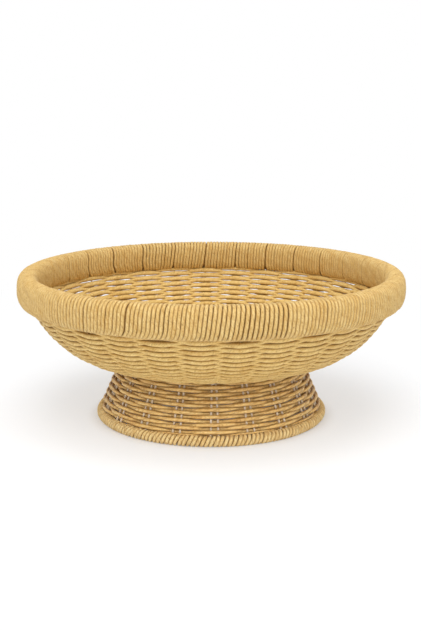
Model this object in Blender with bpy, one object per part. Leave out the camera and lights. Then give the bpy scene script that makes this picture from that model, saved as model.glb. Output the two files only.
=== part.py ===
"""Footed bowl woven from twisted straw cord over bent reeds.

The bowl stands on a flared woven foot. Reed stakes cross under the floor in two layers, turn up the
wall and end in a thick rim. Cord runs over and under them in one rising spiral, cut into lengths of a
few turns. The count of stakes is odd, so that each turn passes the other side of every stake. The rim
and the ring under the foot are rolls of straw wrapped in cord, shown here as sleeves, open only where
the stakes enter. Metres, +Z up, the front towards -Y, standing on z = 0 at the centre of the foot.
"""

import math

import bpy
from mathutils import Matrix, Vector

# Materials of the weave
CORD_DIAMETER = 0.0032
REED_DIAMETER = 0.0022
GAP = 0.0003
STAKE_CLEARANCE = 0.00035

# Rim, a roll with a squarish oval section
OVERALL_DIAMETER = 0.400
OVERALL_HEIGHT = 0.1551
RIM_THICKNESS = 0.0217
RIM_DEPTH = 0.0328
RIM_SQUARENESS = 2.68
RIM_WRAP_THICKNESS = 0.0035

# Wall of the bowl, on the middle of its thickness: a curve from the flat floor to the rim
FLOOR_HEIGHT = 0.0628
NECK_RADIUS = 0.0870
NECK_PULL = 0.0536
WALL_TOP_INSET = 0.0152
WALL_TOP_SLOPE = math.radians(61.0)
WALL_TOP_PULL = 0.0394
WALL_STEPS = 8

# Stakes of the bowl: bent reeds from rim to rim, and one short reed that makes their count odd
CROSSING_REEDS = 15
CROSSING_SPACING = 0.0028
CROSSING_HALF_WIDTH = 0.0300
STAKE_TURN = math.radians(11.0)
SHORT_REED_START = 0.0420

# Floor mat
MAT_THICKNESS = 0.0032

# Foot: a straight flared wall between a hoop under the bowl and a wrapped ring on the table
FOOT_TOP_RADIUS = 0.0930
RING_RADIUS = 0.1154
RING_DIAMETER = 0.0112
RING_FLAT_DEPTH = 0.0005
RING_WRAP_THICKNESS = 0.0028
HALF_FOOT_STAKES = 9
LEG_SPREAD_TOP = 0.0044
LEG_SPREAD_BOTTOM = 0.0076
FOOT_TURN = math.radians(-88.6)

# Weaving
TURNS_PER_LENGTH = 3

# Fineness of the turned and rounded shapes
STEPS_PER_STAKE = 2
HOOP_STEPS = 48
RIM_SKIN_STEPS = 12
RING_SKIN_STEPS = 12
CORE_STEPS = 8

# Values that follow from those above
CORD_RADIUS = CORD_DIAMETER / 2
REED_RADIUS = REED_DIAMETER / 2
ROW_PITCH = CORD_DIAMETER + GAP
RIBS = 2 * CROSSING_REEDS + 1
FOOT_STAKES = 2 * HALF_FOOT_STAKES + 1
WALL_TOP_RADIUS = OVERALL_DIAMETER / 2 - WALL_TOP_INSET
WALL_TOP_HEIGHT = OVERALL_HEIGHT - RIM_DEPTH
RIM_CENTRE = Vector(((OVERALL_DIAMETER - RIM_THICKNESS) / 2, 0, OVERALL_HEIGHT - RIM_DEPTH / 2))
RING_CENTRE = Vector((RING_RADIUS, 0, RING_DIAMETER / 2 - RING_FLAT_DEPTH))
HOOP_HEIGHT = FLOOR_HEIGHT - REED_RADIUS - GAP - CORD_RADIUS
FOOT_TOP = Vector((FOOT_TOP_RADIUS, 0, HOOP_HEIGHT - CORD_RADIUS - GAP - REED_RADIUS))


def clear_scene():
    """Removes whatever the open file holds, so that only this part is left."""
    for item in list(bpy.data.objects):
        bpy.data.objects.remove(item, do_unlink=True)


def material(name, colour, roughness):
    """Returns a plain fibre material with this linear colour and roughness."""
    made = bpy.data.materials.new(name)
    made.use_nodes = True
    shader = made.node_tree.nodes["Principled BSDF"]
    shader.inputs["Base Color"].default_value = (*colour, 1.0)
    shader.inputs["Roughness"].default_value = roughness
    shader.inputs["Metallic"].default_value = 0.0
    return made


def tube(name, points, radius, finish, closed=False):
    """Lays a cord or reed of this radius along the points, with filled ends."""
    curve = bpy.data.curves.new(name, "CURVE")
    curve.dimensions = "3D"
    curve.fill_mode = "FULL"
    curve.bevel_depth = radius
    curve.bevel_resolution = 0
    curve.use_fill_caps = not closed
    spline = curve.splines.new("POLY")
    spline.points.add(len(points) - 1)
    for place, point in zip(spline.points, points):
        place.co = (*point, 1.0)
    spline.use_cyclic_u = closed
    made = bpy.data.objects.new(name, curve)
    made.data.materials.append(finish)
    bpy.context.collection.objects.link(made)
    return made


def turned_ring(name, section, stakes, turn, finish):
    """Turns a closed section of (radius, 0, height) points right round the Z axis.

    The section runs down its outer side, so that the faces point outwards. One of its corners lies
    at each stake, where the ring is full size.
    """
    mesh = bpy.data.meshes.new(name)
    edges = [(i, (i + 1) % len(section)) for i in range(len(section))]
    mesh.from_pydata(section, edges, [])
    made = bpy.data.objects.new(name, mesh)
    made.data.materials.append(finish)
    made.rotation_euler.z = turn
    bpy.context.collection.objects.link(made)
    screw = made.modifiers.new("turn", "SCREW")
    screw.axis = "Z"
    screw.angle = 2 * math.pi
    screw.steps = STEPS_PER_STAKE * stakes
    screw.render_steps = STEPS_PER_STAKE * stakes
    screw.use_merge_vertices = True
    screw.merge_threshold = 0.00001
    screw.use_smooth_shade = True
    return made


def around(point, angle):
    """Turns a point about the Z axis by this angle, from where it lies over the +X axis."""
    return Matrix.Rotation(angle, 3, "Z") @ point


def halve(low, high, inside):
    """Returns the value between low and high where inside(value) stops being true."""
    for _ in range(50):
        middle = (low + high) / 2
        if inside(middle):
            low = middle
        else:
            high = middle
    return low


def outward(direction):
    """Returns the normal that lies to the outer, lower side of a rising direction in the plane."""
    return Vector((direction.z, 0, -direction.x))


class Outline:
    """A rounded section: an oval about a centre, squarer as its exponent passes 2."""

    def __init__(self, centre, half_width, half_height, exponent):
        self.centre = centre
        self.half_width = half_width
        self.half_height = half_height
        self.exponent = exponent

    def grown(self, extra):
        """Returns the same outline, larger all round by this much."""
        return Outline(self.centre, self.half_width + extra, self.half_height + extra, self.exponent)

    def holds(self, point):
        """Says whether a point of the plane lies inside."""
        across = abs(point.x - self.centre.x) / self.half_width
        up = abs(point.z - self.centre.z) / self.half_height
        return across**self.exponent + up**self.exponent < 1

    def point(self, angle):
        """Returns the point of the outline in this direction from its centre."""
        way = Vector((math.cos(angle), 0, math.sin(angle)))
        reach = self.half_width + self.half_height
        return self.centre + way * halve(0, reach, lambda r: self.holds(self.centre + way * r))

    def section(self, steps, start=0.0):
        """Returns points all round from this angle, running down the outer side."""
        return [self.point(start - 2 * math.pi * i / steps) for i in range(steps)]


def opened_section(section, origin, direction, half_slot):
    """Opens a closed section with a slot along the line that enters it in this direction.

    Returns its points from one edge of the slot the long way round to the other.
    """
    side = outward(direction)

    def nearest_crossing(level):
        """The side that crosses this face of the slot where the line enters, and the point there."""
        crossings = []
        for i, (here, there) in enumerate(zip(section, section[1:] + section[:1])):
            before = (here - origin).dot(side) - level
            after = (there - origin).dot(side) - level
            if before * after < 0:
                crossings.append((i, here.lerp(there, before / (before - after))))
        return min(crossings, key=lambda crossing: (crossing[1] - origin).dot(direction))

    end_side, end = nearest_crossing(half_slot)
    start_side, start = nearest_crossing(-half_slot)
    return [start, *section[start_side + 1 :], *section[: end_side + 1], end]


def entry_length(origin, direction, outline):
    """Returns how far a straight run goes from origin before it enters the outline."""
    to_centre = (outline.centre - origin).dot(direction)
    return halve(0, to_centre, lambda run: not outline.holds(origin + direction * run))


def seated_length(origin, direction, outline, radius):
    """Returns how far a tube's end can go before any of it comes within the gap of the outline."""
    clear = outline.grown(GAP)
    side = outward(direction) * radius
    return min(entry_length(origin + side * sign, direction, clear) for sign in (-1, 0, 1))


def sleeve_section(skin, lining, origin, direction, half_slot):
    """Returns the section of a wrapped skin: a ring of material with one slot for the stakes."""
    outside = opened_section(skin, origin, direction, half_slot)
    inside = opened_section(lining, origin, direction, half_slot)
    return outside + list(reversed(inside))


class Wall:
    """The middle of a woven wall, as a chain of straight runs in the (radius, 0, height) plane."""

    def __init__(self, points):
        self.points = points
        self.runs = [b - a for a, b in zip(points, points[1:])]
        self.length = sum(run.length for run in self.runs)

    def place(self, distance):
        """Returns the point at this distance along the wall, and the wall's direction there."""
        left = distance
        for start, run in zip(self.points, self.runs):
            if left <= run.length or run is self.runs[-1]:
                return start + run.normalized() * left, run.normalized()
            left -= run.length
        return None

    def smooth_direction(self, distance):
        """Returns the direction over one cord each side, so that it doesn't jump at a bend."""
        before, _ = self.place(max(distance - CORD_DIAMETER, 0))
        after, _ = self.place(min(distance + CORD_DIAMETER, self.length))
        return (after - before).normalized()


def line_distance(point_a, way_a, point_b, way_b):
    """Returns the least distance between two straight lines."""
    across = way_a.cross(way_b).normalized()
    return abs((point_b - point_a).dot(across))


def weave_offset(middle, direction, spread, step):
    """Returns how far from the wall's middle a cord must pass a stake, on either side of it.

    The cord runs straight from one side of a stake to the other side of the next, step further round.
    A stake may be a pair of legs, each spread to its side.
    """
    side = outward(direction)
    leg = middle + Vector((0, spread, 0))

    def clearance(offset, sign):
        here = middle + side * offset * sign
        there = around(middle - side * offset * sign, step)
        return line_distance(leg, direction, here, there - here)

    needed = CORD_RADIUS + REED_RADIUS + STAKE_CLEARANCE
    return max(
        halve(needed / 2, 4 * needed, lambda offset: clearance(offset, sign) < needed) for sign in (-1, 1)
    )


def woven_lengths(name, wall, first, last, stakes, turn, spread, finish):
    """Weaves a rising spiral of cord round the wall, over one stake and under the next.

    It is cut into lengths in the middle of a run between two stakes, with a gap between their ends.
    """
    step = 2 * math.pi / stakes
    turns = int((last - first) / ROW_PITCH)

    def corner(count):
        distance = first + ROW_PITCH * count / stakes
        middle, _ = wall.place(distance)
        direction = wall.smooth_direction(distance)
        offset = weave_offset(middle, direction, spread(distance) / 2, step)
        sign = 1 if count % 2 else -1
        return around(middle + outward(direction) * offset * sign, turn + step * count)

    def cut(count, forward):
        """The end of a length, half a gap short of the middle between corner count and the next."""
        here, there = corner(count), corner(count + 1)
        way = (there - here).normalized()
        return (here + there) / 2 + way * GAP / 2 * forward

    for number, start in enumerate(range(0, turns, TURNS_PER_LENGTH)):
        end = min(start + TURNS_PER_LENGTH, turns)
        inner = [corner(count) for count in range(start * stakes + 1, end * stakes + 1)]
        points = [cut(start * stakes, 1), *inner, cut(end * stakes, -1)]
        tube(f"{name}_{number + 1:02d}", points, CORD_RADIUS, finish)


def bowl_wall():
    """Returns the bowl's wall from the neck to where it enters the rim, and its top direction."""
    start = Vector((NECK_RADIUS, 0, FLOOR_HEIGHT))
    end = Vector((WALL_TOP_RADIUS, 0, WALL_TOP_HEIGHT))
    top_way = Vector((math.cos(WALL_TOP_SLOPE), 0, math.sin(WALL_TOP_SLOPE)))
    controls = [start, start + Vector((NECK_PULL, 0, 0)), end - top_way * WALL_TOP_PULL, end]
    points = []
    for i in range(WALL_STEPS + 1):
        t = i / WALL_STEPS
        weights = ((1 - t) ** 3, 3 * (1 - t) ** 2 * t, 3 * (1 - t) * t**2, t**3)
        points.append(sum((c * w for c, w in zip(controls, weights)), Vector()))
    return Wall(points), top_way


def rib_points(wall, top_way, core, angle):
    """Returns a stake's points up the wall at this angle, from the neck to its seat in the rim."""
    end = wall.points[-1]
    seat = end + top_way * seated_length(end, top_way, core, REED_RADIUS)
    return [around(point, angle) for point in [*wall.points[:-1], seat]]


def bowl_stakes(wall, top_way, core, finish):
    """Lays the crossing reeds in two layers, one across the other, and adds the short reed."""
    rib = 2 * math.pi / RIBS
    lower = CROSSING_REEDS // 2
    upper = CROSSING_REEDS - lower
    layer_drop = (REED_DIAMETER + GAP) / 2

    number = 0
    for first_rib, count, height in ((0, lower, -layer_drop), (lower, upper, layer_drop)):
        layer_turn = STAKE_TURN + rib * (first_rib + (count - 1) / 2)
        for place in range(count):
            number += 1
            aside = (place - (count - 1) / 2) * CROSSING_SPACING
            near_rib = first_rib + place
            far_rib = first_rib + CROSSING_REEDS + count - 1 - place
            near_side = rib_points(wall, top_way, core, STAKE_TURN + rib * near_rib)
            far_side = rib_points(wall, top_way, core, STAKE_TURN + rib * far_rib)
            floor = [
                around(Vector((along, aside, FLOOR_HEIGHT + height)), layer_turn)
                for along in (CROSSING_HALF_WIDTH, -CROSSING_HALF_WIDTH)
            ]
            points = [*reversed(near_side), *floor, *far_side]
            tube(f"bowl_stake_{number:02d}", points, REED_RADIUS, finish)

    angle = STAKE_TURN + rib * (RIBS - 1)
    inner_end = around(Vector((SHORT_REED_START, 0, FLOOR_HEIGHT)), angle)
    points = [inner_end, *rib_points(wall, top_way, core, angle)]
    tube(f"bowl_stake_{CROSSING_REEDS + 1:02d}", points, REED_RADIUS, finish)


def floor_mat(first_row_radius, finish):
    """Makes the woven floor as a plain mat over the crossing reeds, inside the first row."""
    bpy.ops.mesh.primitive_cylinder_add(
        vertices=HOOP_STEPS,
        radius=first_row_radius - CORD_RADIUS - GAP,
        depth=MAT_THICKNESS,
        location=(0, 0, FLOOR_HEIGHT + GAP / 2 + REED_DIAMETER + GAP + MAT_THICKNESS / 2),
    )
    mat = bpy.context.object
    mat.name = "floor_mat"
    mat.data.name = "floor_mat"
    mat.data.materials.append(finish)
    mat.data.shade_smooth()
    mat.data.set_sharp_from_angle(angle=math.radians(40))


def foot_stakes(wall, core, spread, finish):
    """Bends each pair of foot legs from one reed, closed under the hoop and open at the ring."""
    way = wall.runs[0].normalized()
    top_spread = spread(wall.length)
    bottom = wall.length - seated_length(wall.points[-1], -way, core, REED_RADIUS)
    shoulder = wall.length - top_spread / 2
    bend = [math.pi * i / 3 for i in range(4)]
    outline = [(bottom, -spread(bottom) / 2)]
    outline += [
        (shoulder + math.sin(turn) * top_spread / 2, -math.cos(turn) * top_spread / 2) for turn in bend
    ]
    outline += [(bottom, spread(bottom) / 2)]
    for number in range(FOOT_STAKES):
        angle = FOOT_TURN + 2 * math.pi * number / FOOT_STAKES
        points = []
        for distance, aside in outline:
            middle, _ = wall.place(distance)
            points.append(around(middle + Vector((0, aside, 0)), angle))
        tube(f"foot_stake_{number + 1:02d}", points, REED_RADIUS, finish)


def build():
    """Builds every piece, from the rim down."""
    clear_scene()
    straw = material("straw_cord", (0.60, 0.40, 0.15), 0.75)
    straw_roll = material("straw_roll", (0.42, 0.27, 0.10), 0.90)
    reed = material("reed", (0.50, 0.33, 0.13), 0.55)
    foot_cord = material("foot_cord", (0.52, 0.33, 0.12), 0.50)

    rim = Outline(RIM_CENTRE, RIM_THICKNESS / 2, RIM_DEPTH / 2, RIM_SQUARENESS)
    rim_core = rim.grown(-RIM_WRAP_THICKNESS - GAP)
    ring = Outline(RING_CENTRE, RING_DIAMETER / 2, RING_DIAMETER / 2, 2)
    ring_core = ring.grown(-RING_WRAP_THICKNESS - GAP)
    slot = REED_RADIUS + GAP

    wall, top_way = bowl_wall()
    rim_skin = rim.section(RIM_SKIN_STEPS)
    rim_lining = rim_core.grown(GAP).section(CORE_STEPS)
    below_rim = wall.points[-1] - top_way * RIM_DEPTH
    rim_sleeve = sleeve_section(rim_skin, rim_lining, below_rim, top_way, slot)
    turned_ring("rim_core", rim_core.section(CORE_STEPS), RIBS, STAKE_TURN, straw_roll)
    turned_ring("rim_wrap", rim_sleeve, RIBS, STAKE_TURN, straw)
    bowl_stakes(wall, top_way, rim_core, reed)

    first = FOOT_TOP_RADIUS + 2 * CORD_RADIUS + GAP - NECK_RADIUS
    last = wall.length - CORD_DIAMETER
    woven_lengths("bowl_weaver", wall, first, last, RIBS, STAKE_TURN, lambda distance: 0, straw)
    floor_mat(NECK_RADIUS + first, straw)

    hoop_place = Vector((FOOT_TOP_RADIUS, 0, HOOP_HEIGHT))
    hoop = [around(hoop_place, 2 * math.pi * i / HOOP_STEPS) for i in range(HOOP_STEPS)]
    tube("foot_hoop", hoop, CORD_RADIUS, reed, closed=True)

    foot = Wall([RING_CENTRE, FOOT_TOP])
    foot_way = foot.runs[0].normalized()

    def spread(distance):
        share = distance / foot.length
        return LEG_SPREAD_BOTTOM + (LEG_SPREAD_TOP - LEG_SPREAD_BOTTOM) * share

    round_skin = ring.section(RING_SKIN_STEPS, math.pi / RING_SKIN_STEPS)
    ring_skin = [Vector((point.x, 0, max(point.z, 0))) for point in round_skin]
    ring_lining = ring_core.grown(GAP).section(CORE_STEPS)
    ring_sleeve = sleeve_section(ring_skin, ring_lining, FOOT_TOP, -foot_way, slot)
    turned_ring("foot_ring_core", ring_core.section(CORE_STEPS), FOOT_STAKES, FOOT_TURN, straw_roll)
    turned_ring("foot_ring_wrap", ring_sleeve, FOOT_STAKES, FOOT_TURN, foot_cord)
    foot_stakes(foot, ring_core, spread, reed)
    first = RING_DIAMETER / 2 + GAP + CORD_RADIUS
    last = foot.length - 2 * CORD_RADIUS
    woven_lengths("foot_weaver", foot, first, last, FOOT_STAKES, FOOT_TURN, spread, foot_cord)


build()
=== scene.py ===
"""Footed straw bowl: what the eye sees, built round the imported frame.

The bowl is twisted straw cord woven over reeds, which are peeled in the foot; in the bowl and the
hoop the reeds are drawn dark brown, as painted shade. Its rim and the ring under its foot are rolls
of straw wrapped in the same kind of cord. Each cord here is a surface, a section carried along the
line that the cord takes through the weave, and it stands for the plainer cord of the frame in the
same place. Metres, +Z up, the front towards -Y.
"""

import logging
import math
from dataclasses import dataclass, field
from enum import Enum

import bpy
import numpy as np
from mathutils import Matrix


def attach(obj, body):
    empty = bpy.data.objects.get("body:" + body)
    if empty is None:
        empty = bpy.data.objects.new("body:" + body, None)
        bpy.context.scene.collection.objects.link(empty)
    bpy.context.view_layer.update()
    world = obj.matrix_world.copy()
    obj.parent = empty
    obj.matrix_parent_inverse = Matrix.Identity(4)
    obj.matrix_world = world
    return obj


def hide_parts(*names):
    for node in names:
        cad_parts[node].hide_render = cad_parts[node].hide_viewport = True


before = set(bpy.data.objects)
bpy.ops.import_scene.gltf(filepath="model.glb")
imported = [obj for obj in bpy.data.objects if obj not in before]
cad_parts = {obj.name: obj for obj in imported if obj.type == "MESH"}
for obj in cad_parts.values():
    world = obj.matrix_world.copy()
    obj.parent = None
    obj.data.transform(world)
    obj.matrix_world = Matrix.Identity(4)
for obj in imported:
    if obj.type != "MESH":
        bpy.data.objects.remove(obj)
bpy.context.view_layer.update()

LOG = logging.getLogger("straw_bowl")
Array = np.ndarray
Socket = bpy.types.NodeSocket
MM = 0.001
TAU = 2 * math.pi

# Counts, directions and places that several pieces share
BODY = "root"
BOWL_RIBS = 31
BOWL_TURN = math.radians(11.0)
FOOT_PAIRS = 19
FOOT_TURN = math.radians(-88.6)
NECK_RADIUS = 87.0 * MM
FLOOR_HEIGHT = 62.8 * MM
SEAT_DEPTH = 7 * MM
HOOP_RADIUS = 93.0 * MM
RING_RADIUS = 115.4 * MM
RING_HEIGHT = 5.1 * MM

# The power by which a cord thins as the share of its row that is left for it shrinks
TAPER = 0.7


# Numbers and arrays


def linear(code: str) -> tuple[float, float, float, float]:
    """Turns an sRGB hex colour into Blender's linear values.

    Args:
        code: six hex digits, such as "D2B06D".

    Returns:
        Red, green, blue and alpha, by the sRGB curve: a straight part near black, then a power of 2.4.
    """
    parts = [int(code[i : i + 2], 16) / 255 for i in (0, 2, 4)]
    red, green, blue = (p / 12.92 if p <= 0.04045 else ((p + 0.055) / 1.055) ** 2.4 for p in parts)
    return red, green, blue, 1.0


def unit(vectors: Array) -> Array:
    """Scales each row to length one."""
    return vectors / np.linalg.norm(vectors, axis=-1, keepdims=True)


def lengths_along(line: Array) -> Array:
    """The length of a line up to each of its points."""
    return np.concatenate([[0.0], np.cumsum(np.linalg.norm(np.diff(line, axis=0), axis=1))])


def turned(radius: Array, height: Array, angle: Array) -> Array:
    """Places points by radius, height and angle about the Z axis, as rows of x, y, z."""
    return np.stack([radius * np.cos(angle), radius * np.sin(angle), height + 0 * angle], axis=-1)


def upward(line: Array) -> Array:
    """Straight up, once for each point of a line."""
    return np.broadcast_to([0.0, 0.0, 1.0], line.shape)


def away_from(middle: float, angle: Array) -> Array:
    """How far each angle lies from the middle one, from minus half a turn to half a turn."""
    return (angle - middle + math.pi) % TAU - math.pi


def hump(off: Array, half: float) -> Array:
    """A bell of height one: e to the power of minus the square of the way off, in half widths."""
    return np.exp(-((off / half) ** 2))


def smooth_step(low: float, high: float, values: Array) -> Array:
    """Rises from 0 at low to 1 at high, as three times the square less twice the cube of the share."""
    share = np.clip((values - low) / (high - low), 0, 1)
    return share * share * (3 - 2 * share)


def flattened(wave: Array, flatness: float) -> Array:
    """Presses a wave's crests flat: tanh of flatness times the wave, over tanh of the flatness."""
    return np.tanh(flatness * wave) / math.tanh(flatness)


def wander(values: Array, wavelength: float, seed: int, terms: int = 5) -> Array:
    """Drifts smoothly about zero, as a hand does.

    Args:
        values: where along the line, in any unit.
        wavelength: the middle wavelength, in the same unit.
        seed: which drift of many.
        terms: how many waves are added.

    Returns:
        The sum of sine waves whose lengths spread about the middle one, with a size of about one.
    """
    rng = np.random.default_rng(seed)
    lengths = wavelength * 2 ** rng.uniform(-0.9, 0.9, terms)
    phases = rng.uniform(0, TAU, terms)
    waves = np.sin(TAU * np.asarray(values)[..., None] / lengths + phases)
    return waves.sum(axis=-1) * math.sqrt(2 / terms) * 0.7


def round_wander(angle: Array, seed: int, terms: int = 6, highest: int = 9) -> Array:
    """Drifts smoothly about zero round a ring, and closes.

    Args:
        angle: where on the ring, in radians.
        seed: which drift of many.
        terms: how many waves are added.
        highest: how many times the shortest wave may go up and down in one round.

    Returns:
        The sum of sines of whole multiples of the angle, with a size of about one.
    """
    rng = np.random.default_rng(seed)
    counts = rng.integers(1, highest + 1, terms)
    phases = rng.uniform(0, TAU, terms)
    return np.sin(np.asarray(angle)[..., None] * counts + phases).sum(axis=-1) / math.sqrt(terms)


@dataclass(frozen=True)
class Drift:
    """An unevenness that wanders: its size, and its middle wavelength in the unit of what it follows."""

    size: float
    wavelength: float

    def at(self, values: Array, seed: int) -> Array:
        """The drift at each of these places along the line."""
        return self.size * wander(values, self.wavelength, seed)


# Surfaces


@dataclass
class Strand:
    """The line of one cord or reed as whole arrays, a row for each section along it.

    Fields: centre, the points; lift, the way that the section's height points; half_width and
    half_height, its half sizes; start, the length that lies before it, in metres, which only shifts
    the pattern of its finish; closed, whether its end meets its start; along and so_far, its
    direction and length at each row, worked out from the points unless it is part of a longer cord.
    """

    centre: Array
    lift: Array
    half_width: Array
    half_height: Array
    start: float = 0.0
    closed: bool = False
    along: Array | None = None
    so_far: Array | None = None

    def __post_init__(self) -> None:
        """Works out the direction and length at each row from the rows on both sides."""
        if self.along is None:
            if self.closed:
                self.along = unit(np.roll(self.centre, -1, axis=0) - np.roll(self.centre, 1, axis=0))
            else:
                self.along = unit(np.gradient(self.centre, axis=0))
        if self.so_far is None:
            self.so_far = self.start + lengths_along(self.centre)

    def part(self, rows: slice) -> "Strand":
        """Cuts out some rows, with the direction and length that they have in the whole cord.

        Args:
            rows: which of them.

        Returns:
            The shorter cord.
        """
        fields = (self.centre, self.lift, self.half_width, self.half_height)
        centre, lift, width, height = (array[rows] for array in fields)
        return Strand(centre, lift, width, height, along=self.along[rows], so_far=self.so_far[rows])


@dataclass(frozen=True)
class Twist:
    """How a cord is laid.

    Fields: sides, the points of its section; fullness, 1 for an oval and less for one pressed
    squarer by its neighbours; plies and swell, how many strands bulge and by what share of the
    radius; lay, the length in which the strands go once round.
    """

    sides: int = 8
    fullness: float = 1.0
    plies: int = 2
    swell: float = 0.035
    lay: float = 17 * MM


# A reed is a single stick: its section doesn't bulge
REED_TWIST = Twist(swell=0.0, lay=1.0)


@dataclass
class Surface:
    """A mesh as whole arrays: points, faces of four and of three corners, and values at the points."""

    name: str
    points: Array
    quads: Array
    triangles: Array = field(default_factory=lambda: np.zeros((0, 3), int))
    values: dict[str, Array] = field(default_factory=dict)

    def object(self, finish: bpy.types.Material) -> bpy.types.Object:
        """Puts the arrays into a smooth mesh and links it to the scene.

        Args:
            finish: the mesh's only material.

        Returns:
            The object, at the origin.
        """
        quads, triangles = self.quads, self.triangles
        corners = np.concatenate([quads.ravel(), triangles.ravel()])
        starts = np.concatenate([np.arange(len(quads)) * 4, len(quads) * 4 + np.arange(len(triangles)) * 3])
        mesh = bpy.data.meshes.new(self.name)
        mesh.vertices.add(len(self.points))
        mesh.vertices.foreach_set("co", self.points.astype(np.float32).ravel())
        mesh.loops.add(len(corners))
        mesh.loops.foreach_set("vertex_index", corners.astype(np.int32))
        mesh.polygons.add(len(starts))
        mesh.polygons.foreach_set("loop_start", starts.astype(np.int32))
        mesh.polygons.foreach_set("use_smooth", np.ones(len(starts), bool))
        for key, array in self.values.items():
            kind, slot = ("FLOAT_VECTOR", "vector") if array.ndim == 2 else ("FLOAT", "value")
            attribute = mesh.attributes.new(key, kind, "POINT")
            attribute.data.foreach_set(slot, array.astype(np.float32).ravel())
        mesh.update(calc_edges=True)
        mesh.validate()
        mesh.materials.append(finish)
        made = bpy.data.objects.new(self.name, mesh)
        bpy.context.scene.collection.objects.link(made)
        return made


def tube_faces(rows: int, sides: int, closed: bool) -> Array:
    """Joins the points of a tube, ring after ring, by four-sided faces.

    Args:
        rows: how many rings of points there are.
        sides: how many points each ring has.
        closed: whether the last ring is joined to the first.

    Returns:
        The four point numbers of each face, in the order that turns it outwards.
    """
    first = np.arange(rows if closed else rows - 1)[:, None] * sides
    side = np.arange(sides)[None, :]
    here, beside = first + side, first + (side + 1) % sides
    ahead, ahead_beside = (here + sides) % (rows * sides), (beside + sides) % (rows * sides)
    return np.stack([here, ahead, ahead_beside, beside], axis=-1).reshape(-1, 4)


def carry(name: str, strand: Strand, twist: Twist, floor: float | None = None) -> Surface:
    """Carries a cord's section along its line, which makes a tube.

    The section is an oval. Its point at angle a lies half the width times cos(a) across the line and
    half the height times sin(a) along the lift, with the cosine and sine raised to the fullness, and
    both are swollen by one plus the swell times the cosine of plies times a, less the turn that the
    lay has made so far. Two values are kept at the points: "strand", the place in the cord as if it
    were untwisted and straight, in millimetres, and "groove_shade", which is 0 on the crest and 1
    where the cord meets its neighbours, and tells how far painted shade darkens the cord there.

    Args:
        name: the surface's name.
        strand: the line.
        twist: the cord's section and lay.
        floor: a height that no point may lie below, or None.

    Returns:
        The tube, with caps on its ends unless the line is closed.
    """
    along = strand.along
    lift = unit(strand.lift - (strand.lift * along).sum(axis=1, keepdims=True) * along)
    across = np.cross(along, lift)
    rows, sides = len(strand.centre), twist.sides
    around = np.arange(sides) / sides * TAU
    length = strand.so_far
    phase = TAU * length / twist.lay
    swell = 1 + twist.swell * np.cos(twist.plies * around[None, :] - phase[:, None])
    round_shares = (np.cos(around), np.sin(around))
    across_share, lift_share = (np.sign(v) * np.abs(v) ** twist.fullness for v in round_shares)
    width = strand.half_width[:, None] * across_share * swell
    height = strand.half_height[:, None] * lift_share * swell
    points = strand.centre[:, None] + width[..., None] * across[:, None] + height[..., None] * lift[:, None]
    if floor is not None:
        points[..., 2] = np.maximum(points[..., 2], floor)
    points = points.reshape(-1, 3)
    lay_angle = around[None, :] - phase[:, None] / twist.plies
    radius = strand.half_height[:, None] / MM
    place = [length[:, None] / MM + 0 * lay_angle, radius * np.cos(lay_angle), radius * np.sin(lay_angle)]
    values = {
        "strand": np.stack(place, axis=-1).reshape(-1, 3),
        "groove_shade": np.broadcast_to(np.abs(np.cos(around)) ** 3, (rows, sides)).ravel(),
    }
    quads = tube_faces(rows, sides, strand.closed)
    if strand.closed:
        return Surface(name, points, quads, values=values)
    ring = np.arange(sides)
    following = (ring + 1) % sides
    base = (rows - 1) * sides
    first_cap = np.stack([np.full(sides, rows * sides), ring, following], axis=-1)
    last_cap = np.stack([np.full(sides, rows * sides + 1), base + following, base + ring], axis=-1)
    points = np.concatenate([points, strand.centre[[0, -1]]])
    ends = np.stack([length[[0, -1]] / MM, np.zeros(2), np.zeros(2)], axis=-1)
    values["strand"] = np.concatenate([values["strand"], ends])
    values["groove_shade"] = np.concatenate([values["groove_shade"], np.ones(2)])
    return Surface(name, points, quads, np.concatenate([first_cap, last_cap]), values)


@dataclass(frozen=True)
class Profile:
    """The middle line of a woven wall, as rows of radius and height."""

    line: Array

    @property
    def length(self) -> float:
        """The wall's whole length."""
        return float(lengths_along(self.line)[-1])

    def at(self, distance: Array) -> tuple[Array, Array]:
        """Finds the wall at these distances along it.

        Args:
            distance: lengths from its lower end.

        Returns:
            The points, and the outward normals, each as rows of radius and height.
        """
        so_far = lengths_along(self.line)
        way = unit(np.gradient(self.line, axis=0))
        point = np.stack([np.interp(distance, so_far, self.line[:, i]) for i in (0, 1)], axis=-1)
        normal = np.stack([np.interp(distance, so_far, v) for v in (way[:, 1], -way[:, 0])], axis=-1)
        return point, unit(normal)


@dataclass(frozen=True)
class BowlCurve:
    """The cubic curve of the bowl's wall in the frame, and the straight end that sits in the rim.

    Fields: end, its upper end as radius and height; slope, the wall's rise there; neck_pull and
    end_pull, how far the curve's two controls lie from its ends, level and along the slope.
    """

    end: tuple[float, float] = (184.8 * MM, 122.3 * MM)
    slope: float = math.radians(61)
    neck_pull: float = 53.6 * MM
    end_pull: float = 39.4 * MM
    points: int = 400
    seat_points: int = 12

    def profile(self) -> Profile:
        """Works out the wall's line.

        Returns:
            The sum of the four controls, each times its cubic weight, and then the straight end.
        """
        way = np.array([math.cos(self.slope), math.sin(self.slope)])
        start, end = np.array([NECK_RADIUS, FLOOR_HEIGHT]), np.array(self.end)
        controls = np.stack([start, start + [self.neck_pull, 0], end - way * self.end_pull, end])
        t = np.linspace(0, 1, self.points)[:, None]
        weights = np.concatenate([(1 - t) ** 3, 3 * (1 - t) ** 2 * t, 3 * (1 - t) * t**2, t**3], axis=1)
        seat = end + way * np.linspace(0, SEAT_DEPTH, self.seat_points)[1:, None]
        return Profile(np.concatenate([weights @ controls, seat]))


def foot_profile() -> Profile:
    """Draws the foot's wall, straight from the middle of the ring on the table to below the hoop."""
    return Profile(np.linspace([RING_RADIUS, RING_HEIGHT], [HOOP_RADIUS, 56.8 * MM], 60))


# Finishes


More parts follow.
